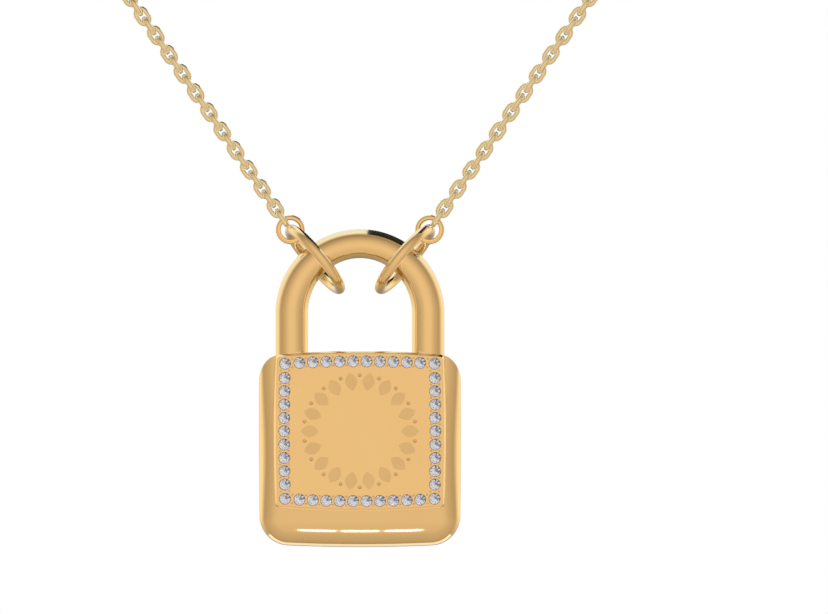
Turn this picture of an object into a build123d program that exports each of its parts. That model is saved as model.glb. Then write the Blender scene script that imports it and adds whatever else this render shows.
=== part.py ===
from build123d import *

import math
import os

# A padlock pendant on a cable chain, worn round a neck. Lengths are in millimetres, angles in degrees.
# +X is to the wearer's left, +Z is up, and the padlock's front faces -Y. It is drawn with the middle of
# the case's bottom edge at X = 0, Z = 0, and each piece is then moved so that the origin is the clasp.

# The case, seen from the front, and its depth from front to back
case_width = 19.0
case_height = 18.0
case_depth = 5.2
case_corner_radius = 2.6
case_bottom_bow = 0.3
case_side_bow = 0.1
case_roll_width = 2.35
case_roll_depth = 1.5
shoulder_width = 1.9
shoulder_drop = 2.75

# The front plate: its outline at the corners, how far each side bows out, its thickness and its edge
plate_width = 15.85
plate_height = 14.28
plate_side_bow = 0.13
plate_top_bow = 0.36
plate_bottom_bow = 0.38
plate_corner_radius = 0.4
plate_thickness = 1.0
plate_proud = 0.42
plate_edge_bevel = 0.22
plate_top_level = 18.03

# The row of stones: their size, how many fit along each side, how far in from the edge they lie, what
# share of the edge's bow they follow, and how much wider the gap beside a corner stone is
stone_diameter = 1.05
stones_across = 12
stones_down = 11
stone_side_inset = 0.925
stone_row_inset = 0.815
stone_bow_share = 0.6
stone_corner_spread = 1.07
stone_table_share = 0.56
stone_crown = 0.17
stone_girdle = 0.04
stone_pavilion = 0.44
stone_facets = 8
girdle_above_plate = 0.02

# The sunk ornament: a ring of pointed petals round a bare disc, with a small round dimple in each gap
ornament_inner_radius = 3.85
ornament_outer_radius = 5.55
ornament_petals = 18
ornament_depth = 0.09
petal_width = 1.15
dimple_ball_radius = 0.25
dimple_circle_radius = 5.25

# The shackle: its rod, the distance between its legs' axes, and how far the legs go up and down
shackle_rod = 3.06
shackle_span = 12.8
shackle_rise = 3.98
shackle_seat_depth = 3.0

# The rings that join the shackle to the chain
bail_ring_mean = 7.2
bail_ring_wire = 1.0
bail_ring_angle = 40.0
bail_ring_twist = 9.0
link_ring_mean = 2.34
link_ring_wire = 0.42

# The chain: its width over the links, and its slope in front, measured from the vertical
chain_width = 1.36
chain_slope = 34.7

# The clasp at the nape, a plain ring with a small eye on each side
clasp_ring_mean = 4.4
clasp_wire = 0.9
clasp_eye_mean = 1.3
clasp_eye_wire = 0.45

# Clearances between the pieces
socket_clearance = 0.05
pocket_clearance = 0.05
stone_clearance = 0.05
bail_seat_gap = 1.4
ring_seat_gap = 0.44
chain_end_gap = 0.15

# The chain's route from the small ring over the shoulder to the nape, for the side on +X, as steps from
# the small ring's centre: across, back and up. Then how far back and up the nape lies, and what share of
# the shorter run beside it each rounded corner takes.
chain_route = [
    (32.2, 0.0, 46.5),
    (51.2, 17.5, 72.0),
    (57.0, 50.5, 87.5),
    (46.2, 85.0, 97.3),
    (21.3, 105.6, 102.5),
]
chain_back_reach = 109.2
chain_back_rise = 104.0
chain_corner_share = 0.45

# What follows from those sizes
half_width = case_width / 2
half_depth = case_depth / 2
arch_radius = shackle_span / 2
arch_centre_z = case_height + shackle_rise
rod_radius = shackle_rod / 2
bail_wire_radius = bail_ring_wire / 2
link_wire_radius = link_ring_wire / 2
stone_radius = stone_diameter / 2
plate_bottom_level = plate_top_level - plate_height
plate_middle_z = (plate_top_level + plate_bottom_level) / 2
plate_front_y = -half_depth - plate_proud
plate_back_y = plate_front_y + plate_thickness


def front_sketch(sketch, y):
    """The sketch, drawn as seen from the front, laid in the upright plane at depth y."""
    return Plane.XZ.offset(-y) * sketch


def bowed_outline(width, height, side_bow, top_bow, bottom_bow, corner, grow=0.0):
    """A cushion outline round the origin: four bowed sides with rounded corners, grown by a clearance."""
    x = width / 2 + grow
    z = height / 2 + grow
    sides = [
        ThreePointArc((-x, -z), (0, -z - bottom_bow), (x, -z)),
        ThreePointArc((x, -z), (x + side_bow, 0), (x, z)),
        ThreePointArc((x, z), (0, z + top_bow), (-x, z)),
        ThreePointArc((-x, z), (-x - side_bow, 0), (-x, -z)),
    ]
    outline = make_face(Wire(sides))
    return fillet(outline.vertices(), corner + grow)


def plate_outline(grow=0.0):
    """The front plate's outline, seen from the front at its place on the case."""
    outline = bowed_outline(
        plate_width, plate_height, plate_side_bow, plate_top_bow, plate_bottom_bow, plate_corner_radius, grow
    )
    return Pos(0, plate_middle_z) * outline


def case_blank():
    """The case before its top is cut: a slab whose sides and bottom roll round to the front and back.

    The roll is a quarter of an ellipse, wider than it is deep, so a deeper slab is rolled round and then
    pressed flat to the case's depth."""
    x = half_width - case_side_bow
    top = case_height + case_roll_width
    profile = make_face(
        Wire(
            [
                ThreePointArc((-x, 0), (0, -case_bottom_bow), (x, 0)),
                ThreePointArc((x, 0), (half_width, top / 2), (x, top)),
                Line((x, top), (-x, top)),
                ThreePointArc((-x, top), (-half_width, top / 2), (-x, 0)),
            ]
        )
    )
    low_corners = profile.vertices().group_by(Axis.Y)[0]
    profile = Pos(0, case_bottom_bow) * fillet(low_corners, case_corner_radius)
    press = case_roll_depth / case_roll_width
    slab = extrude(front_sketch(profile, 0), half_depth / press, both=True)
    rims = slab.faces().filter_by(Axis.Y).edges()
    rolled = fillet(rims.filter_by(lambda edge: edge.center().Z < case_height), case_roll_width)
    return scale(rolled, by=(1, press, 1))


def shoulder_trim():
    """The outline that trims the top: flat in the middle, with a quarter of an ellipse at each shoulder."""
    flat = half_width - shoulder_width
    shoulder_z = case_height - shoulder_drop
    low = -case_height
    quarter = 90
    right = EllipticalCenterArc((flat, shoulder_z), shoulder_width, shoulder_drop, arc_size=quarter)
    left = EllipticalCenterArc(
        (-flat, shoulder_z), shoulder_width, shoulder_drop, start_angle=quarter, arc_size=quarter
    )
    outline = make_face(
        Wire(
            [
                Line((-half_width, low), (half_width, low)),
                Line((half_width, low), (half_width, shoulder_z)),
                right,
                Line((flat, case_height), (-flat, case_height)),
                left,
                Line((-half_width, shoulder_z), (-half_width, low)),
            ]
        )
    )
    return extrude(front_sketch(outline, 0), case_depth, both=True)


def leg_places():
    """The two leg axes, left and right."""
    return [-arch_radius, arch_radius]


def make_case():
    body = case_blank() & shoulder_trim()
    for x in leg_places():
        depth = shackle_seat_depth + socket_clearance
        socket = Cylinder(rod_radius + socket_clearance, depth, align=(Align.CENTER, Align.CENTER, Align.MAX))
        body -= Pos(x, 0, case_height) * socket
    floor = front_sketch(plate_outline(pocket_clearance), plate_back_y + pocket_clearance)
    return body - extrude(floor, case_depth)


def bow_at(share, bow):
    """How far a bowed side stands out at a share of its half length from the middle."""
    return bow * (1 - share * share)


def shares_along(count):
    """Where the stones of one side lie, from -1 to 1, with a wider gap beside each corner stone."""
    inner = 1 - 2 * stone_corner_spread / (count - 3 + 2 * stone_corner_spread)
    middle = [inner * (-1 + 2 * number / (count - 3)) for number in range(count - 2)]
    return [-1] + middle + [1]


def stone_places():
    """Where the stones' centres lie on the plate's face, in order round its border."""
    half_row = plate_width / 2 - stone_side_inset
    half_column = plate_height / 2 - stone_row_inset
    places = []
    for share in shares_along(stones_across):
        top = half_column + bow_at(share, plate_top_bow * stone_bow_share)
        bottom = -half_column - bow_at(share, plate_bottom_bow * stone_bow_share)
        places += [(share * half_row, top), (share * half_row, bottom)]
    for share in shares_along(stones_down)[1:-1]:
        side = half_row + bow_at(share, plate_side_bow * stone_bow_share)
        places += [(-side, share * half_column), (side, share * half_column)]
    return [(x, z + plate_middle_z) for x, z in places]


def facing_front(solid, x, z, y):
    """The solid, modelled with +Z towards the viewer, turned to face the front at a place on the plate."""
    return Plane(origin=(x, y, z), x_dir=(1, 0, 0), z_dir=(0, -1, 0)) * solid


def make_seat():
    """The hole that a stone sits in: a short wall round the girdle, then a cone under the pavilion."""
    radius = stone_radius + stone_clearance
    wall = girdle_above_plate + stone_girdle + 2 * stone_clearance
    floor_radius = stone_clearance * 2
    mouth = Cylinder(radius, wall * 2)
    cone = Cone(
        floor_radius, radius, stone_pavilion, align=(Align.CENTER, Align.CENTER, Align.MAX)
    )
    return mouth + Pos(0, 0, -wall) * cone


def make_petal():
    """One petal of the ornament, between two arcs that meet in a point at each end, along +X."""
    inner = (ornament_inner_radius, 0)
    outer = (ornament_outer_radius, 0)
    middle = (ornament_inner_radius + ornament_outer_radius) / 2
    upper = ThreePointArc(inner, (middle, petal_width / 2), outer)
    lower = ThreePointArc(outer, (middle, -petal_width / 2), inner)
    return make_face(Wire([upper, lower]))


def make_front_plate():
    blank = extrude(front_sketch(plate_outline(), plate_back_y), plate_thickness)
    front = blank.faces().sort_by(Axis.Y)[0]
    plate = chamfer(front.edges(), plate_edge_bevel)
    seats = [facing_front(make_seat(), x, z, plate_front_y) for x, z in stone_places()]
    petal = extrude(make_petal(), ornament_depth, both=True)
    dimple = Pos(dimple_circle_radius, 0, dimple_ball_radius - ornament_depth) * Sphere(dimple_ball_radius)
    step = 360 / ornament_petals
    sunk = []
    for number in range(ornament_petals):
        for cutter, turn in ((petal, number * step), (dimple, (number + 0.5) * step)):
            sunk.append(facing_front(Rot(0, 0, turn) * cutter, 0, plate_middle_z, plate_front_y))
    return plate - seats - sunk


def make_shackle():
    foot_z = case_height - shackle_seat_depth
    path = Wire(
        [
            Line((-arch_radius, foot_z), (-arch_radius, arch_centre_z)),
            ThreePointArc(
                (-arch_radius, arch_centre_z), (0, arch_centre_z + arch_radius), (arch_radius, arch_centre_z)
            ),
            Line((arch_radius, arch_centre_z), (arch_radius, foot_z)),
        ]
    )
    upright = Plane.XZ * path
    section = Plane(origin=(-arch_radius, 0, foot_z), z_dir=(0, 0, 1)) * Circle(rod_radius)
    return sweep(section, upright)


def make_stone():
    """One brilliant, table up: a crown and a pavilion of flat facets that meet at a thin girdle."""
    girdle = RegularPolygon(stone_radius, stone_facets)
    table = RegularPolygon(stone_radius * stone_table_share, stone_facets)
    culet = RegularPolygon(stone_girdle / 2, stone_facets)
    belt = extrude(girdle, stone_girdle)
    table_level = stone_girdle + stone_crown
    crown = loft([Pos(0, 0, stone_girdle) * girdle, Pos(0, 0, table_level) * table], ruled=True)
    pavilion = loft([girdle, Pos(0, 0, -stone_pavilion) * culet], ruled=True)
    return crown + belt + pavilion


def make_border_stones():
    stone = make_stone()
    girdle_y = plate_front_y - girdle_above_plate + stone_girdle
    return Compound([facing_front(stone, x, z, girdle_y) for x, z in stone_places()])


def make_bail_ring(side):
    """The large ring that hangs loose round the shackle on one side, -1 for the left."""
    radius = bail_ring_mean / 2
    reach = bail_centre_reach()
    turn = Rot(0, side * bail_ring_angle, 0)
    ring = Rot(0, 0, -side * bail_ring_twist) * Rot(0, 90, 0) * Torus(radius, bail_wire_radius)
    return Pos(0, 0, arch_centre_z) * turn * Pos(0, 0, reach) * ring


def bail_centre_reach():
    """How far a large ring's centre lies from the arch's centre, with its lower limb off the rod."""
    lower_limb = arch_radius - rod_radius - bail_seat_gap - bail_wire_radius
    return lower_limb + bail_ring_mean / 2


def link_ring_centre(side):
    """The small ring's centre: it lies round the large ring's upper limb, in line with the chain."""
    turn = math.radians(bail_ring_angle)
    slope = math.radians(chain_slope)
    upper_limb = bail_centre_reach() + bail_ring_mean / 2
    lift = link_ring_mean / 2 - link_wire_radius - bail_wire_radius - ring_seat_gap
    x = upper_limb * math.sin(turn) + lift * math.sin(slope)
    z = arch_centre_z + upper_limb * math.cos(turn) + lift * math.cos(slope)
    return Vector(side * x, 0, z)


def make_link_ring(side):
    ring = Rot(90, 0, 0) * Torus(link_ring_mean / 2, link_wire_radius)
    return Pos(*link_ring_centre(side)) * ring


def clasp_centre():
    """The middle of the clasp, which is the origin once the pieces are moved."""
    ring_z = link_ring_centre(1).Z
    return Vector(0, chain_back_reach, ring_z + chain_back_rise)


def chain_points(side):
    """The route's corners on one side, from just outside the small ring to just beside the clasp's eye."""
    ring = link_ring_centre(side)
    slope = math.radians(chain_slope)
    start = link_ring_mean / 2 + link_wire_radius + chain_end_gap
    first = ring + Vector(side * start * math.sin(slope), 0, start * math.cos(slope))
    eye_reach = clasp_ring_mean / 2 + clasp_eye_mean + clasp_wire / 2 + clasp_eye_wire + chain_end_gap
    last = clasp_centre() + Vector(side * eye_reach, 0, 0)
    middle = [ring + Vector(side * x, y, z) for x, y, z in chain_route]
    return [first] + middle + [last]


def route_arcs(points):
    """The arc that rounds each corner of the route."""
    radii = []
    for before, corner, after in zip(points, points[1:], points[2:]):
        shorter = min((corner - before).length, (after - corner).length)
        turn = (corner - before).get_angle(after - corner)
        radii.append(chain_corner_share * shorter / math.tan(math.radians(turn / 2)))
    return radii


def make_chain(side):
    """The tube that stands for one half of the chain."""
    points = chain_points(side)
    radii = route_arcs(points)
    path = FilletPolyline(*points, radius=radii)
    section = Plane(origin=path @ 0, z_dir=path % 0) * Circle(chain_width / 2)
    tube = sweep(section, path)
    expected = math.pi * (chain_width / 2) ** 2 * path.length
    print("chain radii", [round(radius, 1) for radius in radii], "length", round(path.length, 2))
    print("chain volume over section times length", round(tube.volume / expected, 5))
    return tube


def make_clasp():
    ring = Rot(90, 0, 0) * Torus(clasp_ring_mean / 2, clasp_wire / 2)
    eye = Rot(90, 0, 0) * Torus(clasp_eye_mean / 2, clasp_eye_wire / 2)
    reach = clasp_ring_mean / 2 + clasp_wire / 2 + clasp_eye_mean / 2
    clasp = ring
    for side in (-1, 1):
        clasp += Pos(side * reach, 0, 0) * eye
    return Pos(*clasp_centre()) * clasp


def save(name, shape):
    """Moves a piece so that the clasp is the origin, and writes it."""
    export_step(Pos(*(clasp_centre() * -1)) * shape, "parts/" + name + ".step")


os.makedirs("parts", exist_ok=True)
save("case", make_case())
save("front_plate", make_front_plate())
save("shackle", make_shackle())
save("border_stones", make_border_stones())
for name, side in (("left", -1), ("right", 1)):
    save("bail_ring_" + name, make_bail_ring(side))
    save("link_ring_" + name, make_link_ring(side))
    save("chain_" + name, make_chain(side))
save("clasp", make_clasp())
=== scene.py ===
import math

import bmesh
import bpy
from mathutils import Matrix, Vector


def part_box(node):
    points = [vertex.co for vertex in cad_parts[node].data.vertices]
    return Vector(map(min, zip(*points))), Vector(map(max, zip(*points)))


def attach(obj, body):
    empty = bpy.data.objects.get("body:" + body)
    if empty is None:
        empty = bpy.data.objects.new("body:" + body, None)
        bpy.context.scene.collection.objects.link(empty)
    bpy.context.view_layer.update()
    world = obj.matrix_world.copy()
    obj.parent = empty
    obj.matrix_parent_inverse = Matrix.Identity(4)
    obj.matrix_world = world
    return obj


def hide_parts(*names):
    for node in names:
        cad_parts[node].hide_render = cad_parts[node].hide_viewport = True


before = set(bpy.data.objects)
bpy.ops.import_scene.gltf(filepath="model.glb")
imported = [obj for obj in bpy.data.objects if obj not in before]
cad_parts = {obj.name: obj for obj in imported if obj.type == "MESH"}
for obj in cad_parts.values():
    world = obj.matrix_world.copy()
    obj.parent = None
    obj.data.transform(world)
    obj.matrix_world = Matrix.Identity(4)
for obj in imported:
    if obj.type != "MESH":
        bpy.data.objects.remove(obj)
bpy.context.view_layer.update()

# A gold padlock pendant on a cable chain. Everything is in metres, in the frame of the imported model.
# Sizes are written in millimetres, times MM. The padlock's front faces -Y.
MM = 0.001

# The photo's frame, the pixel scale at the padlock, and two places in the photo that the camera is set by
PHOTO_WIDTH = 828
PHOTO_HEIGHT = 614
PIXELS_PER_MM = 10.68
PADLOCK_CENTRE_PX = 359.8
CASE_BOTTOM_PX = 547.5

case_low, case_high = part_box("case")
bow_low, bow_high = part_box("shackle")
plate_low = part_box("front_plate")[0]
MID_Y = (case_low.y + case_high.y) / 2
BOTTOM = case_low.z

# The length of the cutters for the sockets and the pocket. SLACK keeps a cutter's sides off the case's sides,
# and tells the edges at the case's top from lower ones.
CUTTER_LENGTH = 4 * MM
SLACK = 0.01 * MM

# The case. Its block is made higher than the case by a spare part, which the shoulders' outline trims off.
CASE_WIDTH = case_high.x - case_low.x
CASE_HEIGHT = case_high.z - case_low.z
CASE_DEPTH = case_high.y - case_low.y
CASE_CORNER = 2.6 * MM
CASE_BOW = 0.3 * MM
CASE_SIDE_BOW = 0.1 * MM
CASE_ROLL = 2.35 * MM
ROLL_FLATTEST = 0.62
ROLL_ROUNDEST = 0.95
CASE_SPARE = CASE_ROLL + 1 * MM
CASE_EDGE_ROUND = 0.07 * MM
CASE_EDGE_ANGLE = 38
SHOULDER_WIDTH = 1.9 * MM
SHOULDER_DROP = 2.75 * MM
SHOULDER_STEPS = 16
SOCKET_GAP = 0.05 * MM
SOCKET_DEPTH = 3.05 * MM

# The front plate
PLATE_FRONT = plate_low.y
PLATE_THICKNESS = 1.0 * MM
PLATE_WIDTH = 15.85 * MM
PLATE_HEIGHT = 14.28 * MM
PLATE_TOP = 18.03 * MM
PLATE_SIDE_BOW = 0.13 * MM
PLATE_TOP_BOW = 0.36 * MM
PLATE_BOTTOM_BOW = 0.38 * MM
PLATE_CORNER = 0.4 * MM
PLATE_TAPER = 0.2 * MM
PLATE_SLOPE_DEPTH = 0.41 * MM
PLATE_BEVEL = 0.05 * MM
PLATE_GAP = 0.005 * MM
PLATE_MIDDLE = Vector((0, PLATE_FRONT, BOTTOM + PLATE_TOP - PLATE_HEIGHT / 2))

# The stones and their seats. STAR_FLATTER and the two like it are degrees from the main facets' slope.
# Each stone is turned by STONE_TURN more than the last, and looks the same again after STONE_REPEAT degrees.
STONE_DIAMETER = 1.05 * MM
STONES_ACROSS = 12
STONES_DOWN = 11
STONE_SIDE_INSET = 0.925 * MM
STONE_ROW_INSET = 0.815 * MM
STONE_BOW_SHARE = 0.6
STONE_CORNER_SPREAD = 1.07
STONE_TABLE = 0.56
STONE_CROWN = 0.17 * MM
STONE_GIRDLE = 0.04 * MM
STONE_PAVILION = 0.44 * MM
STAR_FLATTER = 13
CROWN_HALF_STEEPER = 6
PAVILION_HALF_STEEPER = 2.2
FACET_REACH = 0.985
STONE_TURN = 47.0
STONE_REPEAT = 45
GIRDLE_PROUD = 0.02 * MM
SEAT_GAP = 0.03 * MM
SEAT_POINT = 0.2
BEAD_RADIUS = 0.12 * MM
BEAD_OFFSET = 0.4 * MM

# The ornament. Past PETAL_TIP, as a share of its half length, a petal's two edges meet.
PETALS = 18
PETAL_INNER = 3.85 * MM
PETAL_OUTER = 5.55 * MM
PETAL_WIDTH = 1.15 * MM
PETAL_DEPTH = 0.09 * MM
PETAL_TIP = 0.999
DIMPLE_BALL = 0.25 * MM
DIMPLE_CIRCLE = 5.25 * MM

# The shackle. Its arch is slimmer at its top, by these shares of the rod's radius inside and outside.
ROD_RADIUS = (bow_high.y - bow_low.y) / 2
ARCH_RADIUS = (bow_high.x - bow_low.x) / 2 - ROD_RADIUS
ARCH_CENTRE = Vector((0, MID_Y, bow_high.z - ROD_RADIUS - ARCH_RADIUS))
ARCH_THIN_INSIDE = 0.17
ARCH_THIN_OUTSIDE = 0.045

# The rings
BAIL_MEAN = 3.6 * MM
BAIL_WIRE = 0.5 * MM
BAIL_ANGLE = 40.0
BAIL_TWIST = 9.0
BAIL_GAP = 1.4 * MM
LINK_RING_MEAN = 1.13 * MM
LINK_RING_WIRE = 0.24 * MM
LINK_RING_THICKNESS = 0.9

# The chain's links. LINK_STRAIGHT is the share of a link's drawing-out that goes into its straight sides.
# CHAIN_ROUTE holds the route's corners as (across, back, up), in millimetres from the small ring's centre.
LINK_PITCH = 1.095 * MM
LINK_WIRE = 0.235 * MM
LINK_THICKNESS = 1.12
LINK_LENGTH = 2.12 * MM
LINK_WIDTH = 1.49 * MM
LINK_STEPS = 14
LINK_STRAIGHT = 0.65
CHAIN_SLOPE = 34.7
CHAIN_START = 0.3 * MM
CHAIN_STRAIGHT = 40 * MM
CHAIN_REACH = 0.75 * MM
CHAIN_ROUTE = [
    (32.2, 0.0, 46.5),
    (51.2, 17.5, 72.0),
    (57.0, 50.5, 87.5),
    (46.2, 85.0, 97.3),
    (21.3, 105.6, 102.5),
]

# The clasp
CLASP_MEAN = 2.2 * MM
CLASP_WIRE = 0.45 * MM
EYE_MEAN = 0.65 * MM
EYE_WIRE = 0.225 * MM
EYE_THICKNESS = 0.8


# Shader sockets as Python values
class Val:
    """A shader socket, so that an expression on values adds its Math nodes."""

    def __init__(self, tree, socket):
        self.tree = tree
        self.socket = socket

    def math(self, operation, *others):
        """A Math node on this value and the others."""
        node = self.tree.nodes.new("ShaderNodeMath")
        node.operation = operation
        for slot, value in zip(node.inputs, (self, *others)):
            if isinstance(value, Val):
                self.tree.links.new(value.socket, slot)
            else:
                slot.default_value = value
        return Val(self.tree, node.outputs[0])

    def __add__(self, other):
        return self.math("ADD", other)

    def __mul__(self, other):
        return self.math("MULTIPLY", other)

    def __sub__(self, other):
        return self.math("SUBTRACT", other)

    def __rsub__(self, other):
        return (self * -1) + other

    def __gt__(self, other):
        return self.math("GREATER_THAN", other)

    def __lt__(self, other):
        return self.math("LESS_THAN", other)


class Shader:
    """The node tree of a material or of the world, with one method that adds any node."""

    def __init__(self, tree):
        self.tree = tree
        tree.nodes.clear()

    def node(self, kind, settings=None, **inputs):
        """Adds a node with its settings and inputs, whose names have _ for each space."""
        made = self.tree.nodes.new("ShaderNode" + kind)
        for name, value in (settings or {}).items():
            if name == "stops":
                set_ramp(made.color_ramp, value)
            else:
                setattr(made, name, value)
        for name, value in inputs.items():
            self.put(made.inputs[name.replace("_", " ")], value)
        return made

    def put(self, slot, value):
        """Links a socket to the slot, or sets the slot's own value."""
        if isinstance(value, Val):
            value = value.socket
        if isinstance(value, bpy.types.NodeSocket):
            self.tree.links.new(value, slot)
        else:
            slot.default_value = value

    def value(self, kind, output, settings=None, **inputs):
        """One output of a new node, as a value."""
        return Val(self.tree, self.node(kind, settings, **inputs).outputs[output])


def set_ramp(ramp, stops):
    """Fills a colour ramp with (place, colour) stops."""
    while len(ramp.elements) > 1:
        ramp.elements.remove(ramp.elements[-1])
    for number, (place, colour) in enumerate(stops):
        element = ramp.elements[0] if number == 0 else ramp.elements.new(place)
        element.position = place
        element.color = (*colour, 1) if len(colour) == 3 else colour


def new_material(name):
    """A new material, and the shader that its nodes are added to."""
    material = bpy.data.materials.new(name)
    material.use_nodes = True
    return material, Shader(material.node_tree)


# Finishes. FINER and HAIR_FINER say how much finer than the clouds the small noise and the hairlines are.
GOLD = (1.0, 0.63, 0.255)
GOLD_DEEP = (0.985, 0.60, 0.235)
GOLD_SUNK = (0.93, 0.58, 0.235)
GOLD_SUNK_DEEP = (0.86, 0.53, 0.21)
GOLD_PALE = (1.0, 0.74, 0.38)
GOLD_PALE_DEEP = (1.0, 0.70, 0.33)
# Painted shade on the case's gold: its colour is darker on the front face and darker still towards its foot
FRONT_SOFT = 0.12 * MM
FRONT_PAINTED_SHADE = 0.085
FOOT_HEIGHT = 2.35 * MM
FOOT_PAINTED_SHADE = 0.31
FINER = 9
HAIR_FINER = 40
HAIR_STRETCH = (1.0, 1.0, 0.06)
HAIR_TURN = (0.2, 0.5, 0.1)
SCRATCH_DEPTH = 0.004 * MM
STONE_CLOUDS = 400.0
STONE_IOR = 2.3


def painted_shade_front_and_foot(tree, place, colour):
    """The case's gold with painted shade: a little darker on its front face and darker towards its foot."""
    behind = tree.value("SeparateXYZ", "Y", None, Vector=place) - case_low.y
    height = tree.value("SeparateXYZ", "Z", None, Vector=place) - BOTTOM
    front = (1 - behind * (1 / FRONT_SOFT)).math("MAXIMUM", 0.0)
    foot = (1 - height * (1 / FOOT_HEIGHT)).math("MAXIMUM", 0.0)
    # Painted shade: the colour is scaled down on the front face and near the foot
    light = 1 - front * FRONT_PAINTED_SHADE - foot * FOOT_PAINTED_SHADE
    return tree.node("VectorMath", {"operation": "SCALE"}, Vector=colour, Scale=light).outputs[0]


def noise(tree, place, scale, detail, roughness=0.5):
    """A soft noise from 0 to 1."""
    return tree.value("TexNoise", "Fac", None, Vector=place, Scale=scale, Detail=detail, Roughness=roughness)


def blend(tree, first, second, share, kind="MIX"):
    """One colour mixed with another, or multiplied by it, as far as the share says."""
    mix = tree.node("Mix", {"data_type": "RGBA", "blend_type": kind})
    tree.put(mix.inputs["Factor"], share)
    tree.put(mix.inputs["A"], first)
    tree.put(mix.inputs["B"], second)
    return mix.outputs["Result"]


def gold_finish(name, pale, deep, smooth, rough, scratch, cloud_size, painted_shade=None):
    """Polished gold: a faint cloud in its colour and polish, and hairline polishing marks, with painted shade
    on its colour when painted_shade is given.
    """
    material, tree = new_material(name)
    place = tree.node("TexCoord").outputs["Object"]
    cloud = noise(tree, place, 1 / cloud_size, 3.0, 0.55)
    fine = noise(tree, place, FINER / cloud_size, 2.0, 0.6)
    stretched = tree.node("Mapping", None, Vector=place, Scale=HAIR_STRETCH, Rotation=HAIR_TURN).outputs[0]
    hair = noise(tree, stretched, HAIR_FINER / cloud_size, 2.0)
    colour = blend(tree, (*pale, 1), (*deep, 1), cloud)
    bump = tree.node("Bump", None, Strength=scratch, Distance=SCRATCH_DEPTH, Height=hair + fine * 0.5)
    shader = tree.node("BsdfPrincipled", None, Metallic=1.0, Normal=bump.outputs[0])
    tree.put(shader.inputs["Base Color"], painted_shade(tree, place, colour) if painted_shade else colour)
    tree.put(shader.inputs["Roughness"], cloud * (rough - smooth) + fine * 0.02 + smooth)
    tree.node("OutputMaterial", None, Surface=shader.outputs[0])
    return material


def stone_finish(name, cool, warm):
    """Clear stone, tinted between a cool and a warm colour in soft clouds."""
    material, tree = new_material(name)
    place = tree.node("TexCoord").outputs["Object"]
    colour = blend(tree, (*cool, 1), (*warm, 1), noise(tree, place, STONE_CLOUDS, 1.0))
    shader = tree.node("BsdfPrincipled", None, IOR=STONE_IOR, Roughness=0.0)
    tree.put(shader.inputs["Transmission Weight"], 1.0)
    tree.put(shader.inputs["Base Color"], colour)
    tree.node("OutputMaterial", None, Surface=shader.outputs[0])
    return material


# Each gold has its two colours, its roughness from and to, the strength of its scratches and its clouds'
# size; the case's gold also has painted shade, darker on its front and towards its foot
case_gold = gold_finish("case_gold", GOLD, GOLD_DEEP, 0.09, 0.13, 0.15, 6 * MM, painted_shade_front_and_foot)
bow_gold = gold_finish("bow_gold", GOLD, GOLD_DEEP, 0.08, 0.12, 0.15, 6 * MM)
plate_gold = gold_finish("plate_gold", GOLD, GOLD_DEEP, 0.10, 0.15, 0.15, 5 * MM)
sunk_gold = gold_finish("sunk_gold", GOLD_SUNK, GOLD_SUNK_DEEP, 0.26, 0.36, 0.4, 2 * MM)
wire_gold = gold_finish("wire_gold", GOLD, GOLD_DEEP, 0.07, 0.11, 0.12, 3 * MM)
link_gold = gold_finish("link_gold", GOLD_PALE, GOLD_PALE_DEEP, 0.14, 0.20, 0.12, 2 * MM)
stone_crown = stone_finish("stone_crown", (0.95, 0.95, 0.97), (1.0, 0.97, 0.95))
# The table facets take a dark blue-grey tint: painted shade for each stone's dark centre
stone_table_painted_shade = stone_finish("stone_table_painted_shade", (0.30, 0.33, 0.41), (0.36, 0.38, 0.45))


# Making pieces
def place_object(name, data):
    """A new object of the data, put in the scene."""
    made = bpy.data.objects.new(name, data)
    bpy.context.scene.collection.objects.link(made)
    return made


def mesh_of(bm, name, recalc=True):
    """A mesh of the bmesh, which is used up, with its faces turned outward if asked."""
    if recalc:
        bmesh.ops.recalc_face_normals(bm, faces=bm.faces)
    mesh = bpy.data.meshes.new(name)
    bm.to_mesh(mesh)
    bm.free()
    return mesh


def finish_piece(name, bm, body, materials, nodes, smooth_angle, recalc=True):
    """Makes an object of the bmesh, smooth but for its sharp edges, riding on a body."""
    mesh = mesh_of(bm, name, recalc)
    piece = place_object(name, mesh)
    for material in materials:
        mesh.materials.append(material)
    for face in mesh.polygons:
        face.use_smooth = smooth_angle > 0
    if smooth_angle > 0:
        mesh.set_sharp_from_angle(angle=math.radians(smooth_angle))
    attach(piece, body)
    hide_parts(*nodes)
    return piece


def cut(bm, cutter_bm, operation, cutter_material=None, solver="EXACT"):
    """The bmesh after a cut with another, whose faces may bring their own material."""
    body = place_object("body", mesh_of(bm, "body"))
    cutter = place_object("cutter", mesh_of(cutter_bm, "cutter"))
    if cutter_material is not None:
        for made in (body, cutter):
            made.data.materials.append(plate_gold)
            made.data.materials.append(cutter_material)
        for face in cutter.data.polygons:
            face.material_index = 1
    step = body.modifiers.new("cut", "BOOLEAN")
    step.object = cutter
    step.operation = operation
    step.solver = solver
    step.material_mode = "INDEX"
    evaluated = body.evaluated_get(bpy.context.evaluated_depsgraph_get())
    result = bmesh.new()
    result.from_mesh(evaluated.data)
    for made in (body, cutter):
        mesh = made.data
        bpy.data.objects.remove(made)
        bpy.data.meshes.remove(mesh)
    return result


def soften(piece, width):
    """Rounds a piece's weighted edges a little, and keeps its flats flat."""
    bevel = piece.modifiers.new("soft_edges", "BEVEL")
    bevel.width = width
    bevel.segments = 2
    bevel.limit_method = "WEIGHT"
    bevel.harden_normals = True
    bevel.miter_outer = "MITER_ARC"


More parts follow.
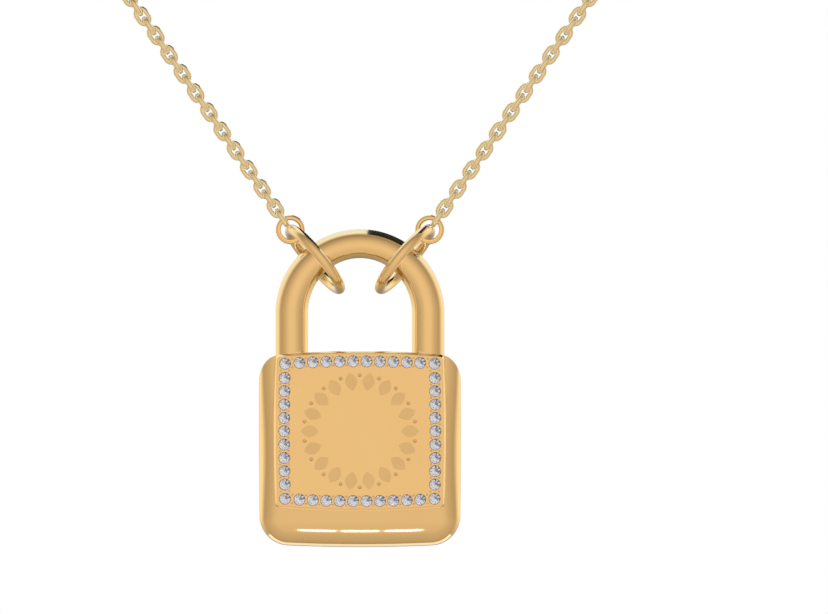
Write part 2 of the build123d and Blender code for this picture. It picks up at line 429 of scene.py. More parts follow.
def bowed_face(bm, width, height, bows, steps, corner, corner_steps, rounded=(0, 1, 2, 3)):
    """A flat face in X and Z with rounded corners and bowed sides: bottom, right, top, left."""
    x, z = width / 2, height / 2
    corners = [bm.verts.new(place) for place in ((-x, 0, -z), (x, 0, -z), (x, 0, z), (-x, 0, z))]
    bm.faces.new(corners)
    bmesh.ops.bevel(
        bm, geom=[corners[k] for k in rounded], offset=corner, offset_type="OFFSET", segments=corner_steps,
        profile=0.5, affect="VERTICES", clamp_overlap=False, material=-1,
    )
    sides = [edge for edge in bm.edges if edge.calc_length() > 2 * corner]
    bmesh.ops.subdivide_edges(bm, edges=sides, cuts=steps)
    bottom, right, top, left = bows
    for vert in bm.verts:
        across, up = vert.co.x / x, vert.co.z / z
        vert.co.x += across * (right if across > 0 else left) * (1 - up * up)
        vert.co.z += up * (top if up > 0 else bottom) * (1 - across * across)


def extrude(bm, faces, step):
    """Extrudes the faces by a step."""
    made = bmesh.ops.extrude_face_region(bm, geom=faces)["geom"]
    moved = [item for item in made if isinstance(item, bmesh.types.BMVert)]
    bmesh.ops.translate(bm, verts=moved, vec=step)


def add_copy(bm, mesh, place):
    """Adds a copy of the mesh to the bmesh, put in its place by a matrix."""
    before = len(bm.verts)
    bm.from_mesh(mesh)
    bm.verts.ensure_lookup_table()
    bmesh.ops.transform(bm, verts=bm.verts[before:], matrix=place)


def rim_edges(bm, y):
    """The edges that lie in the plane at that y."""
    return [edge for edge in bm.edges if all(abs(vert.co.y - y) < 1e-7 for vert in edge.verts)]


def bevel_rim(bm, y, width, segments):
    """Rounds the edges that lie in the plane at that y."""
    bmesh.ops.bevel(
        bm, geom=rim_edges(bm, y), offset=width, offset_type="OFFSET", segments=segments, profile=0.5,
        affect="EDGES", clamp_overlap=False, material=-1,
    )


def make_case():
    """The cushioned case: rolled sides and bottom, a flat top, sloping shoulders, sockets and a pocket."""
    bm = bmesh.new()
    height = CASE_HEIGHT + CASE_SPARE
    bows = (CASE_BOW, CASE_SIDE_BOW, 0, CASE_SIDE_BOW)
    bowed_face(
        bm, CASE_WIDTH - 2 * CASE_SIDE_BOW, height, bows, steps=20, corner=CASE_CORNER, corner_steps=14,
        rounded=(0, 1),
    )
    extrude(bm, list(bm.faces), (0, CASE_DEPTH, 0))
    bmesh.ops.translate(bm, verts=bm.verts, vec=(0, -CASE_DEPTH / 2, height / 2 + CASE_BOW))
    for y in (-CASE_DEPTH / 2, CASE_DEPTH / 2):
        bevel_rim(bm, y, CASE_ROLL, segments=16)
    for vert in bm.verts:
        depth = CASE_DEPTH / 2 - abs(vert.co.y)
        share = math.sin(math.pi * min(max(vert.co.z / CASE_HEIGHT, 0), 1)) ** 2
        depth *= ROLL_FLATTEST + (ROLL_ROUNDEST - ROLL_FLATTEST) * share
        vert.co.y = math.copysign(CASE_DEPTH / 2 - depth, vert.co.y)
    bmesh.ops.translate(bm, verts=bm.verts, vec=(0, MID_Y, BOTTOM))
    # The exact solver leaves this one cut open in some runs
    bm = cut(bm, shoulder_trim(), "INTERSECT", solver="MANIFOLD")
    sockets = bmesh.new()
    radius = ROD_RADIUS + SOCKET_GAP
    for x in (-ARCH_RADIUS, ARCH_RADIUS):
        place = Matrix.Translation((x, MID_Y, BOTTOM + CASE_HEIGHT - SOCKET_DEPTH + CUTTER_LENGTH / 2))
        bmesh.ops.create_cone(
            sockets, cap_ends=True, segments=48, radius1=radius, radius2=radius, depth=CUTTER_LENGTH,
            matrix=place,
        )
    bm = cut(bm, sockets, "DIFFERENCE")
    pocket = plate_blank(PLATE_GAP, CUTTER_LENGTH)
    back = PLATE_FRONT + PLATE_THICKNESS + PLATE_GAP
    bmesh.ops.translate(pocket, verts=pocket.verts, vec=(0, back - CUTTER_LENGTH, 0))
    bm = cut(bm, pocket, "DIFFERENCE")
    weight = bm.edges.layers.float.new("bevel_weight_edge")
    rim = set(rim_edges(bm, case_low.y))
    for edge in bm.edges:
        inside = edge in rim and max(vert.co.z for vert in edge.verts) < case_high.z - SLACK
        sharp = len(edge.link_faces) == 2 and edge.calc_face_angle() > math.radians(CASE_EDGE_ANGLE)
        if sharp and not inside:
            edge[weight] = 1.0
    piece = finish_piece(
        "case_body", bm, "padlock", [case_gold], ["case"], smooth_angle=30.0, recalc=False
    )
    soften(piece, CASE_EDGE_ROUND)


def shoulder_trim():
    """The outline that trims the case's top, as a thick slab."""
    bm = bmesh.new()
    low = BOTTOM - CUTTER_LENGTH / 2
    flat = CASE_WIDTH / 2 - SHOULDER_WIDTH
    shoulder = BOTTOM + CASE_HEIGHT - SHOULDER_DROP
    wide = CASE_WIDTH / 2 + SLACK
    outline = [(-wide, low), (wide, low)]
    for number in range(SHOULDER_STEPS + 1):
        turn = math.radians(90 * number / SHOULDER_STEPS)
        outline.append((flat + (wide - flat) * math.cos(turn), shoulder + SHOULDER_DROP * math.sin(turn)))
    outline += [(-x, z) for x, z in reversed(outline[2:])]
    face = bm.faces.new([bm.verts.new((x, MID_Y - CASE_DEPTH, z)) for x, z in outline])
    face.normal_update()
    extrude(bm, [face], (0, 2 * CASE_DEPTH, 0))
    return bm


def plate_blank(gap, thickness):
    """A slab with the plate's outline, grown by a gap, its front at the frame's zero depth."""
    bm = bmesh.new()
    bows = (PLATE_BOTTOM_BOW, PLATE_SIDE_BOW, PLATE_TOP_BOW, PLATE_SIDE_BOW)
    bowed_face(
        bm, PLATE_WIDTH + 2 * gap, PLATE_HEIGHT + 2 * gap, bows, steps=16, corner=PLATE_CORNER + gap,
        corner_steps=8,
    )
    extrude(bm, list(bm.faces), (0, thickness, 0))
    bmesh.ops.translate(bm, verts=bm.verts, vec=(0, 0, PLATE_MIDDLE.z))
    return bm


def bow_at(share, bow):
    """How far a bowed line stands out at a share of its half length, from -1 to 1."""
    return bow * (1 - share * share)


def shares_along(count):
    """Where the stones of one side lie, from -1 to 1, with a wider gap beside each corner stone."""
    inner = 1 - 2 * STONE_CORNER_SPREAD / (count - 3 + 2 * STONE_CORNER_SPREAD)
    return [-1] + [inner * (-1 + 2 * number / (count - 3)) for number in range(count - 2)] + [1]


def stone_places():
    """The stones' centres in order round the plate's border, as steps from the plate's middle."""
    half_row = PLATE_WIDTH / 2 - STONE_SIDE_INSET
    half_column = PLATE_HEIGHT / 2 - STONE_ROW_INSET
    across = shares_along(STONES_ACROSS)
    down = shares_along(STONES_DOWN)
    bows = [bow * STONE_BOW_SHARE for bow in (PLATE_TOP_BOW, PLATE_SIDE_BOW, PLATE_BOTTOM_BOW)]
    top = [(x * half_row, half_column + bow_at(x, bows[0])) for x in across]
    side = [(half_row + bow_at(z, bows[1]), z * half_column) for z in down[1:-1]]
    bottom = [(x * half_row, -half_column - bow_at(x, bows[2])) for x in across]
    other_side = [(-x, z) for x, z in side]
    return top + side[::-1] + bottom[::-1] + other_side


def front_turn(x, z):
    """Turns a shape modelled facing +Z so that it faces the front, at a step from the plate's middle."""
    return Matrix.Translation(PLATE_MIDDLE + Vector((x, 0, z))) @ Matrix.Rotation(math.radians(90), 4, "X")


def seat_cutter():
    """The holes that the stones sit in."""
    bm = bmesh.new()
    radius = STONE_DIAMETER / 2 + SEAT_GAP
    wall = GIRDLE_PROUD + STONE_GIRDLE + SEAT_GAP
    for x, z in stone_places():
        verts = bmesh.ops.create_cone(
            bm, cap_ends=True, segments=20, radius1=radius, radius2=radius, depth=2 * wall,
            matrix=front_turn(x, z),
        )["verts"]
        faces = [face for face in bm.faces if all(vert in verts for vert in face.verts)]
        deepest = max(faces, key=lambda face: face.calc_center_median().y)
        point = bmesh.ops.extrude_discrete_faces(bm, faces=[deepest])["faces"][0]
        middle = Matrix.Translation(-point.calc_center_median())
        bmesh.ops.scale(bm, verts=point.verts, vec=(SEAT_POINT, SEAT_POINT, SEAT_POINT), space=middle)
        bmesh.ops.translate(bm, verts=point.verts, vec=(0, STONE_PAVILION, 0))
    return bm


def petal_cutter():
    """The sunk petals and dimples of the ornament."""
    bm = bmesh.new()
    step = math.radians(360 / PETALS)
    middle = (PETAL_INNER + PETAL_OUTER) / 2
    half = (PETAL_OUTER - PETAL_INNER) / 2
    for number in range(PETALS):
        verts = bmesh.ops.create_circle(bm, cap_ends=True, segments=20, radius=half)["verts"]
        for vert in verts:
            along = vert.co.x / half
            half_width = bow_at(along, PETAL_WIDTH / 2) if abs(along) < PETAL_TIP else 0
            vert.co.y = half_width if vert.co.y > 0 else -half_width
        bmesh.ops.translate(bm, verts=verts, vec=(middle, 0, 0))
        bmesh.ops.rotate(bm, verts=verts, cent=(0, 0, 0), matrix=Matrix.Rotation(number * step, 3, "Z"))
    extrude(bm, list(bm.faces), (0, 0, 2 * PETAL_DEPTH))
    bmesh.ops.translate(bm, verts=bm.verts, vec=(0, 0, -PETAL_DEPTH))
    out = Matrix.Translation((DIMPLE_CIRCLE, 0, DIMPLE_BALL - PETAL_DEPTH))
    for number in range(PETALS):
        place = Matrix.Rotation((number + 0.5) * step, 4, "Z") @ out
        bmesh.ops.create_uvsphere(bm, u_segments=16, v_segments=12, radius=DIMPLE_BALL, matrix=place)
    bmesh.ops.transform(bm, verts=bm.verts, matrix=front_turn(0, 0))
    return bm


def bead_prongs():
    """The little beads that hold the stones, two in each gap between neighbours."""
    bm = bmesh.new()
    places = stone_places()
    for (x, z), (next_x, next_z) in zip(places, places[1:] + places[:1]):
        run = Vector((next_x - x, 0, next_z - z))
        middle = PLATE_MIDDLE + Vector(((x + next_x) / 2, 0, (z + next_z) / 2))
        aside = run.normalized().cross(Vector((0, 1, 0))) * BEAD_OFFSET
        for spot in (middle + aside, middle - aside):
            place = Matrix.Translation(spot)
            bmesh.ops.create_icosphere(bm, subdivisions=2, radius=BEAD_RADIUS, matrix=place)
    return bm


def make_plate():
    """The plate with its sloping rim, the stones' seats, the sunk ornament and the beads."""
    bm = plate_blank(0.0, PLATE_THICKNESS)
    bmesh.ops.translate(bm, verts=bm.verts, vec=(0, PLATE_FRONT, 0))
    ends = [face for face in bm.faces if len(face.verts) > 4]
    front = [min(ends, key=lambda face: face.calc_center_median().y)]
    border = bmesh.ops.inset_region(
        bm, faces=front, thickness=PLATE_TAPER, depth=0.0, use_even_offset=True
    )["faces"]
    outer = {vert for face in border for vert in face.verts} - set(front[0].verts)
    bmesh.ops.translate(bm, verts=list(outer), vec=(0, PLATE_SLOPE_DEPTH, 0))
    bevel_rim(bm, PLATE_FRONT, PLATE_BEVEL, segments=2)
    bm = cut(bm, seat_cutter(), "DIFFERENCE")
    bm = cut(bm, petal_cutter(), "DIFFERENCE", sunk_gold)
    bm = cut(bm, bead_prongs(), "UNION")
    finish_piece(
        "stone_set_plate", bm, "padlock", [plate_gold, sunk_gold], ["front_plate"],
        smooth_angle=24.0, recalc=False,
    )


def slice_off(bm, point, normal):
    """Cuts away what lies beyond a plane, and closes the cut with one facet."""
    geometry = list(bm.verts) + list(bm.edges) + list(bm.faces)
    cut_geometry = bmesh.ops.bisect_plane(
        bm, geom=geometry, dist=1e-9, plane_co=point, plane_no=normal, clear_outer=True
    )["geom_cut"]
    edges = [item for item in cut_geometry if isinstance(item, bmesh.types.BMEdge)]
    if edges:
        bmesh.ops.edgeloop_fill(bm, edges=edges)


def cut_facets(bm, count, start, tilt, reach, upper):
    """One ring of facets round the stone's axis, that meet the girdle's plane at their reach."""
    for number in range(count):
        turn = math.radians(start + 360 * number / count)
        out = Vector((math.cos(turn), math.sin(turn), 0))
        along = Vector((0, 0, 1 if upper else -1))
        level = Vector((0, 0, STONE_GIRDLE if upper else 0))
        slice_off(bm, out * reach + level, out * math.sin(tilt) + along * math.cos(tilt))


def make_brilliant():
    """One brilliant with its table up: table, kites, halves and stars above, mains and halves below."""
    bm = bmesh.new()
    radius = STONE_DIAMETER / 2
    bmesh.ops.create_cone(bm, cap_ends=True, segments=16, radius1=radius, radius2=radius, depth=2 * MM)
    half_side = 360 / 32
    girdle = radius * math.cos(math.radians(half_side))
    crown = math.atan2(STONE_CROWN, radius * (1 - STONE_TABLE))
    crown_half = crown + math.radians(CROWN_HALF_STEEPER)
    star = crown - math.radians(STAR_FLATTER)
    star_reach = girdle - STONE_CROWN / math.tan(crown) + STONE_CROWN / math.tan(star)
    pavilion = math.atan2(STONE_PAVILION, radius)
    pavilion_half = pavilion + math.radians(PAVILION_HALF_STEEPER)
    slice_off(bm, (0, 0, STONE_GIRDLE + STONE_CROWN), (0, 0, 1))
    cut_facets(bm, 8, 0, crown, girdle, upper=True)
    cut_facets(bm, 16, half_side, crown_half, radius * FACET_REACH, upper=True)
    cut_facets(bm, 8, 2 * half_side, star, star_reach, upper=True)
    cut_facets(bm, 8, 0, pavilion, radius * FACET_REACH, upper=False)
    cut_facets(bm, 16, half_side, pavilion_half, radius, upper=False)
    table = max(bm.faces, key=lambda face: face.calc_center_median().z)
    # The table gets the dark tinted stone, which is painted shade
    table.material_index = 1
    return bm


def make_stones():
    """The 42 stones in one mesh, each turned a little, as they are when set by hand."""
    brilliant = mesh_of(make_brilliant(), "one_brilliant", recalc=False)
    sunk = Matrix.Translation((0, 0, GIRDLE_PROUD - STONE_GIRDLE))
    bm = bmesh.new()
    for number, (x, z) in enumerate(stone_places()):
        turn = Matrix.Rotation(math.radians(STONE_TURN * number % STONE_REPEAT), 4, "Z")
        add_copy(bm, brilliant, front_turn(x, z) @ sunk @ turn)
    bpy.data.meshes.remove(brilliant)
    stones = [stone_crown, stone_table_painted_shade]
    finish_piece("brilliants", bm, "padlock", stones, ["border_stones"], smooth_angle=0)


def spun_ring(bm, mean, wire, steps, sides):
    """A round wire spun about the Y axis at the origin."""
    section = bmesh.ops.create_circle(
        bm, cap_ends=False, segments=sides, radius=wire, matrix=Matrix.Translation((mean, 0, 0))
    )
    edges = list({edge for vert in section["verts"] for edge in vert.link_edges})
    bmesh.ops.spin(
        bm, geom=section["verts"] + edges, cent=(0, 0, 0), axis=(0, 1, 0), angle=math.radians(360),
        steps=steps, use_merge=True, use_normal_flip=False, use_duplicate=False,
    )


def make_shackle():
    """The round bow: an arch spun from the rod's section, slimmer at its top, and a leg below each end."""
    bm = bmesh.new()
    bmesh.ops.create_circle(
        bm, cap_ends=True, segments=48, radius=ROD_RADIUS, matrix=Matrix.Translation((-ARCH_RADIUS, 0, 0))
    )
    bmesh.ops.spin(
        bm, geom=list(bm.verts) + list(bm.edges) + list(bm.faces), cent=(0, 0, 0), axis=(0, 1, 0),
        angle=math.radians(180), steps=56, use_merge=False, use_normal_flip=False, use_duplicate=False,
    )
    for vert in bm.verts:
        reach = math.hypot(vert.co.x, vert.co.z)
        thin = ARCH_THIN_INSIDE if reach < ARCH_RADIUS else ARCH_THIN_OUTSIDE
        thinner = ARCH_RADIUS + (reach - ARCH_RADIUS) * (1 - thin * (vert.co.z / reach) ** 2)
        vert.co.x *= thinner / reach
        vert.co.z *= thinner / reach
    for end in [face for face in bm.faces if len(face.verts) > 4]:
        extrude(bm, [end], (0, 0, bow_low.z - ARCH_CENTRE.z))
        if end.is_valid:
            bmesh.ops.delete(bm, geom=[end], context="FACES_ONLY")
    bmesh.ops.remove_doubles(bm, verts=bm.verts, dist=1e-7)
    bmesh.ops.translate(bm, verts=bm.verts, vec=ARCH_CENTRE)
    finish_piece("shackle_bow", bm, "padlock", [bow_gold], ["shackle"], smooth_angle=40.0)


def bail_reach():
    """How far a large ring's centre lies from the arch's centre."""
    return ARCH_RADIUS - ROD_RADIUS - BAIL_GAP - BAIL_WIRE + BAIL_MEAN


def make_bail_ring(side, name):
    """A large jump ring that leans outward where it hangs on the arch."""
    bm = bmesh.new()
    spun_ring(bm, BAIL_MEAN, BAIL_WIRE, steps=64, sides=24)
    turn = Matrix.Rotation(math.radians(90 - side * BAIL_TWIST), 4, "Z")
    lean = Matrix.Rotation(math.radians(side * BAIL_ANGLE), 4, "Y")
    place = Matrix.Translation(ARCH_CENTRE) @ lean @ Matrix.Translation((0, 0, bail_reach())) @ turn
    bmesh.ops.transform(bm, verts=bm.verts, matrix=place)
    finish_piece(
        "large_jump_ring_" + name, bm, "necklace", [wire_gold], ["bail_ring_" + name],
        smooth_angle=60.0,
    )


def ring_centre(side):
    """The small ring's centre on one side."""
    low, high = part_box("link_ring_left" if side < 0 else "link_ring_right")
    return (low + high) / 2


def make_link_ring(side, name):
    """The small jump ring between a large one and the chain."""
    bm = bmesh.new()
    spun_ring(bm, LINK_RING_MEAN, LINK_RING_WIRE, steps=48, sides=16)
    bmesh.ops.scale(bm, verts=bm.verts, vec=(1, LINK_RING_THICKNESS, 1))
    bmesh.ops.translate(bm, verts=bm.verts, vec=ring_centre(side))
    finish_piece(
        "small_jump_ring_" + name, bm, "necklace", [wire_gold], ["link_ring_" + name],
        smooth_angle=60.0,
    )


def route_points(side):
    """Points along the chain's smooth route, close together, as the route's own spline gives them."""
    ring = ring_centre(side)
    slope = math.radians(CHAIN_SLOPE)
    out = Vector((side * math.sin(slope), 0, math.cos(slope)))
    corners = [ring + out * CHAIN_START, ring + out * CHAIN_STRAIGHT]
    corners += [ring + Vector((side * x, y, z)) * MM for x, y, z in CHAIN_ROUTE]
    eye = Vector((side * (CLASP_MEAN + CLASP_WIRE + 2 * EYE_MEAN), 0, 0))
    corners.append(eye + (eye - corners[-1]).normalized() * CHAIN_REACH)
    curve = bpy.data.curves.new("route", "CURVE")
    curve.dimensions = "3D"
    curve.resolution_u = 64
    spline = curve.splines.new("NURBS")
    spline.points.add(len(corners) - 1)
    for point, place in zip(spline.points, corners):
        point.co = (*place, 1)
    spline.order_u = 3
    spline.use_endpoint_u = True
    holder = place_object("route", curve)
    mesh = bpy.data.meshes.new_from_object(holder.evaluated_get(bpy.context.evaluated_depsgraph_get()))
    points = [vert.co.copy() for vert in mesh.vertices]
    bpy.data.objects.remove(holder)
    bpy.data.curves.remove(curve)
    bpy.data.meshes.remove(mesh)
    return points


def walk(points, distances):
    """The place and direction at each distance along the points."""
    found = []
    travelled = 0.0
    number = 0
    run = points[1] - points[0]
    for distance in distances:
        while number < len(points) - 2 and travelled + run.length < distance:
            travelled += run.length
            number += 1
            run = points[number + 1] - points[number]
        share = (distance - travelled) / run.length
        found.append((points[number] + run * share, run.normalized()))
    return found


def make_link():
    """One oval link along Z, flat in X and Z: a spun ring of wire drawn out at its middle."""
    bm = bmesh.new()
    mean = (LINK_WIDTH - 2 * LINK_WIRE) / 2
    spun_ring(bm, mean, LINK_WIRE, LINK_STEPS, sides=6)
    half_step = Matrix.Rotation(math.pi / LINK_STEPS, 3, "Y")
    bmesh.ops.rotate(bm, verts=bm.verts, cent=(0, 0, 0), matrix=half_step)
    draw = (LINK_LENGTH - LINK_WIDTH) / 2
    for vert in bm.verts:
        height = vert.co.z / math.hypot(vert.co.x, vert.co.z)
        vert.co.z += draw * (math.copysign(LINK_STRAIGHT, height) + (1 - LINK_STRAIGHT) * height)
        vert.co.y *= LINK_THICKNESS
    return mesh_of(bm, "one_link")


def carried_across(places):
    """A direction square to the chain at each place, carried along it from straight ahead without twist."""
    across = [Vector((0, -1, 0))]
    for _, along in places:
        across.append((across[-1] - along * across[-1].dot(along)).normalized())
    return across[1:]


def make_chain(side, name):
    """Half of the cable chain: each link threads the next, a quarter turn apart.

    The links also turn slowly along the chain, so that the last one stands upright in the clasp's eye.
    """
    points = route_points(side)
    length = sum((b - a).length for a, b in zip(points, points[1:]))
    run = length - LINK_LENGTH
    count = round(run / LINK_PITCH / 2) * 2
    pitch = run / (count - 1)
    places = walk(points, [LINK_LENGTH / 2 + pitch * number for number in range(count)])
    link = make_link()
    bm = bmesh.new()
    across = carried_across(places)
    upright = Vector((0, 0, math.copysign(1, across[-1].z)))
    twist = math.copysign(across[-1].angle(upright), across[-1].cross(upright).dot(places[-1][1]))
    for number, (place, along) in enumerate(places):
        outward = Matrix.Rotation(twist * number / (count - 1), 3, along) @ across[number]
        flat = outward if number % 2 else outward.cross(along)
        link_turn = Matrix((flat.cross(along), flat, along)).transposed().to_4x4()
        add_copy(bm, link, Matrix.Translation(place) @ link_turn)
    bpy.data.meshes.remove(link)
    finish_piece(
        "cable_chain_" + name, bm, "necklace", [link_gold], ["chain_" + name],
        smooth_angle=80.0, recalc=False,
    )


def make_clasp():
    """The plain ring clasp, with an eye on each side for the chain's last link."""
    bm = bmesh.new()
    spun_ring(bm, CLASP_MEAN, CLASP_WIRE, steps=48, sides=20)
    for side in (-1, 1):
        eye = bmesh.new()
        spun_ring(eye, EYE_MEAN, EYE_WIRE, steps=28, sides=14)
        bmesh.ops.scale(eye, verts=eye.verts, vec=(1, EYE_THICKNESS, 1))
        bmesh.ops.translate(eye, verts=eye.verts, vec=(side * (CLASP_MEAN + CLASP_WIRE + EYE_MEAN), 0, 0))
        bm = cut(bm, eye, "UNION")
    finish_piece(
        "nape_clasp", bm, "necklace", [wire_gold], ["clasp"], smooth_angle=40.0, recalc=False
    )


make_case()
make_plate()
make_shackle()
make_stones()
for side, name in ((-1, "left"), (1, "right")):
    make_bail_ring(side, name)
    make_link_ring(side, name)
    make_chain(side, name)
make_clasp()


# The camera, level with the padlock's middle, far enough off that the view is nearly flat
CAMERA_DISTANCE = 900 * MM
SENSOR_WIDTH = 36.0
camera_data = bpy.data.cameras.new("photo_camera")
camera = place_object("photo_camera", camera_data)
bpy.context.scene.camera = camera
mm_across = PHOTO_WIDTH / PIXELS_PER_MM
camera_data.sensor_width = SENSOR_WIDTH
camera_data.lens = SENSOR_WIDTH * (CAMERA_DISTANCE / MM) / mm_across
camera_data.clip_start = 10 * MM
camera_data.clip_end = 50000 * MM
aim_x = (PHOTO_WIDTH / 2 - PADLOCK_CENTRE_PX) / PIXELS_PER_MM * MM
aim_z = BOTTOM + (CASE_BOTTOM_PX - PHOTO_HEIGHT / 2) / PIXELS_PER_MM * MM
camera.location = (aim_x, PLATE_FRONT - CAMERA_DISTANCE, aim_z)
camera.rotation_euler = (math.radians(90), 0, 0)

# The studio: the camera sees plain white, and the gold mirrors a surround that is graded by the gold's slope
bpy.context.scene.view_settings.view_transform = "Standard"
world = bpy.data.worlds.new("studio")
bpy.context.scene.world = world
world.use_nodes = True
studio = Shader(world.node_tree)
DARK_PATCH_UP = 0.05
DARK_PATCH_FROM = 0.085
DARK_PATCH_TO = 1.0
DARK_PATCH_BACK = -0.05
DARK_PATCH_DEPTH = 0.975
SPARKLE_SCALE = 5.0
SPARKLE_CONTRAST = 8
SPARKLE_LIFT = 0.65
way = studio.node("TexCoord").outputs["Generated"]
parts = studio.node("SeparateXYZ", None, Vector=way)
right, back, up = (Val(studio.tree, parts.outputs[axis]) for axis in "XYZ")


def by_slope(stops):
    """The surround's light where the gold's slope sends the eye: place is the squared sine of the slope."""
    ramp = studio.node("ValToRGB", {"stops": stops}, Fac=back * 0.5 + 0.5)
    return ramp.outputs["Color"]


def grey(level):
    """A colour with no hue."""
    return (level, level, level)


# The surround beside, above and below the padlock, blended by the way that the gold leans
aslant = (right * right + up * up + 1e-6).math("SQRT")
lean = up.math("DIVIDE", aslant)
beside = by_slope([
    (0.0, grey(0.84)), (0.03, grey(0.81)), (0.095, grey(0.69)), (0.18, grey(0.60)), (0.295, grey(0.54)),
    (0.44, grey(0.48)), (0.50, grey(0.56)), (0.54, grey(0.68)), (0.59, grey(0.80)),
    (0.69, (0.97, 1.05, 1.04)), (0.79, (1.07, 1.12, 1.07)), (0.90, (1.0, 1.05, 0.95)),
    (1.0, (0.8, 0.9, 0.85)),
])
above = by_slope([
    (0.0, grey(0.84)), (0.015, grey(0.79)), (0.064, grey(0.72)), (0.103, grey(0.65)), (0.149, grey(0.57)),
    (0.206, grey(0.52)), (0.265, grey(0.43)), (0.345, grey(0.34)), (0.430, grey(0.38)),
    (0.517, (0.72, 0.92, 1.20)), (0.60, (0.98, 1.3, 1.75)), (0.9, (0.9, 1.2, 1.6)), (1.0, (0.75, 0.95, 1.1)),
])
below = by_slope([
    (0.0, grey(0.84)), (0.05, grey(0.80)), (0.15, grey(0.74)), (0.30, grey(0.71)), (0.385, grey(0.69)),
    (0.48, grey(0.617)), (0.58, grey(0.52)), (0.68, grey(0.46)), (0.78, grey(0.39)), (0.887, grey(0.33)),
    (1.0, grey(0.30)),
])

surround = blend(studio, beside, above, lean.math("MAXIMUM", 0.0))
surround = blend(studio, surround, below, (lean * -1).math("MAXIMUM", 0.0))

# A dark patch up to the right makes the dark bar on the shackle and the dark lines on the large rings
sideways = right.math("DIVIDE", up)
dark_patch = (sideways > DARK_PATCH_FROM) * (sideways < DARK_PATCH_TO)
dark_patch = dark_patch * (up > DARK_PATCH_UP) * (back > DARK_PATCH_BACK)

# Gold mirrored in gold would be too orange: these tints take some orange back, and set its brightness
glassy = studio.value("LightPath", "Transmission Depth") > 0.5
depth = studio.value("LightPath", "Ray Depth")
first = depth < 2.5
later = (depth > 2.5) * (1 - glassy)
surround = blend(studio, surround, (0.8, 1.0, 1.5, 1), later, "MULTIPLY")
surround = blend(studio, surround, (0.6, 0.6, 0.6, 1), later * (back > -0.1) * (up > 0.3), "MULTIPLY")
surround = blend(studio, surround, (1.7, 2.0, 3.0, 1), later * (back < -0.35), "MULTIPLY")
surround = blend(studio, surround, (0.8, 1.3, 2.4, 1), (depth > 3.5) * (1 - glassy), "MULTIPLY")

# What the stones send back: a warm pale surround, with dark spots that make them sparkle
in_stones = by_slope([
    (0.0, (1.25, 1.19, 1.14)), (0.10, (1.45, 1.36, 1.26)), (0.5, (1.7, 1.56, 1.38)), (1.0, (1.9, 1.68, 1.42)),
])
sparkle = noise(studio, way, SPARKLE_SCALE, 0.0) - 0.5
sparkle = (sparkle * SPARKLE_CONTRAST + SPARKLE_LIFT).math("MINIMUM", 1.0).math("MAXIMUM", 0.0)
in_stones = blend(studio, (0.25, 0.25, 0.29, 1), in_stones, sparkle)
surround = blend(studio, surround, in_stones, glassy)

# The floor is lit by an even grey, so that it takes no tint
surround = blend(studio, surround, (0.85, 0.85, 0.85, 1), studio.value("LightPath", "Is Diffuse Ray"))
seen = studio.value("LightPath", "Is Camera Ray")
mirrored = (1 - seen) * (1 - dark_patch * first * DARK_PATCH_DEPTH)
background = studio.node("Background", None, Strength=seen + mirrored)
studio.put(background.inputs["Color"], blend(studio, surround, (1, 1, 1, 1), seen))
studio.node("OutputWorld", None, Surface=background.outputs[0])

# A plain pale floor below the padlock, which the gold and the stones don't show
FLOOR_RADIUS = 600 * MM
FLOOR_DROP = 40 * MM
floor_mesh = bmesh.new()
bmesh.ops.create_circle(floor_mesh, cap_ends=True, segments=96, radius=FLOOR_RADIUS)
bmesh.ops.translate(floor_mesh, verts=floor_mesh.verts, vec=(0, MID_Y / 2, BOTTOM - FLOOR_DROP))
floor = place_object("floor", mesh_of(floor_mesh, "floor", recalc=False))
paint, tree = new_material("pale_floor")
floor_shader = tree.node("BsdfPrincipled", None, Roughness=0.8)
tree.put(floor_shader.inputs["Base Color"], (0.9, 0.9, 0.9, 1))
tree.node("OutputMaterial", None, Surface=floor_shader.outputs[0])
floor.data.materials.append(paint)
floor.visible_glossy = False
floor.visible_transmission = False


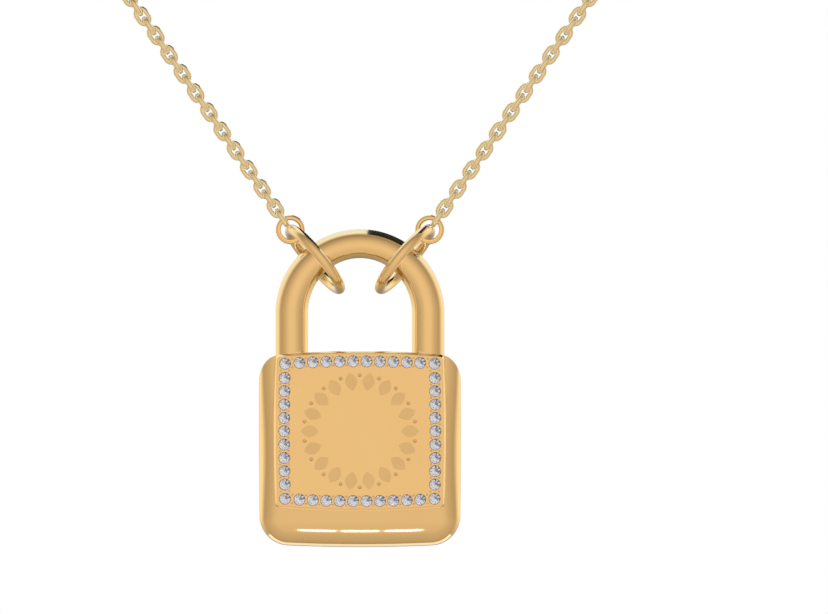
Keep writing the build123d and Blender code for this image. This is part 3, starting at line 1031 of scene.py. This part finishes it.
def area_light(name, size, across, place, toward, power, colour=(1, 1, 1), spread=180):
    """An area lamp that isn't seen through the stones."""
    data = bpy.data.lights.new(name, "AREA")
    data.shape = "RECTANGLE"
    data.size = size
    data.size_y = across
    data.spread = math.radians(spread)
    data.energy = power
    data.color = colour
    light = place_object(name, data)
    light.location = place
    light.rotation_euler = toward.to_track_quat("-Z", "Y").to_euler()
    light.visible_transmission = False
    return light


# The soft box lights the floor and isn't mirrored
SOFT_BOX_SIZE = 500 * MM
SOFT_BOX_PLACE = Vector((-200, -300, 700)) * MM
SOFT_BOX_AIM = Vector((0, MID_Y, -100 * MM))
SOFT_BOX_POWER = 4.0
toward = SOFT_BOX_AIM - SOFT_BOX_PLACE
soft_box = area_light("soft_box", SOFT_BOX_SIZE, SOFT_BOX_SIZE, SOFT_BOX_PLACE, toward, SOFT_BOX_POWER)
soft_box.visible_glossy = False

# Three strips before the padlock show as bright dashes on its lower edge
STRIP_LENGTH = 3.56 * MM
STRIP_WIDTH = 0.8 * MM
STRIP_STEP = 4.17 * MM
STRIP_HEIGHT = 1.5 * MM
STRIP_REACH = 7 * MM
STRIP_LEAN = math.radians(28.5)
STRIP_POWER = 3.2e-6
STRIP_COLOUR = (0.40, 0.55, 1.0)
STRIP_SPREAD = 50
toward = Vector((0, math.cos(STRIP_LEAN), math.sin(STRIP_LEAN)))
for number in (-1, 0, 1):
    aim = Vector((number * STRIP_STEP, case_low.y, BOTTOM + STRIP_HEIGHT))
    spot = aim - toward * STRIP_REACH
    strip = area_light(
        "strip_light", STRIP_LENGTH, STRIP_WIDTH, spot, toward, STRIP_POWER, STRIP_COLOUR, STRIP_SPREAD
    )
    strip.visible_camera = False

# One lamp below the padlock lights the rim of its foot
FOOT_LIGHT_LENGTH = 32 * MM
FOOT_LIGHT_WIDTH = 7 * MM
FOOT_LIGHT_BACK = 5.3 * MM
FOOT_LIGHT_DROP = 6 * MM
FOOT_LIGHT_POWER = 1.26e-3
FOOT_LIGHT_COLOUR = (0.515, 0.68, 1.0)
spot = Vector((0, case_low.y + FOOT_LIGHT_BACK, BOTTOM - FOOT_LIGHT_DROP))
toward = Vector((0, 0, 1))
foot_light = area_light(
    "foot_light", FOOT_LIGHT_LENGTH, FOOT_LIGHT_WIDTH, spot, toward, FOOT_LIGHT_POWER, FOOT_LIGHT_COLOUR
)
foot_light.visible_camera = False
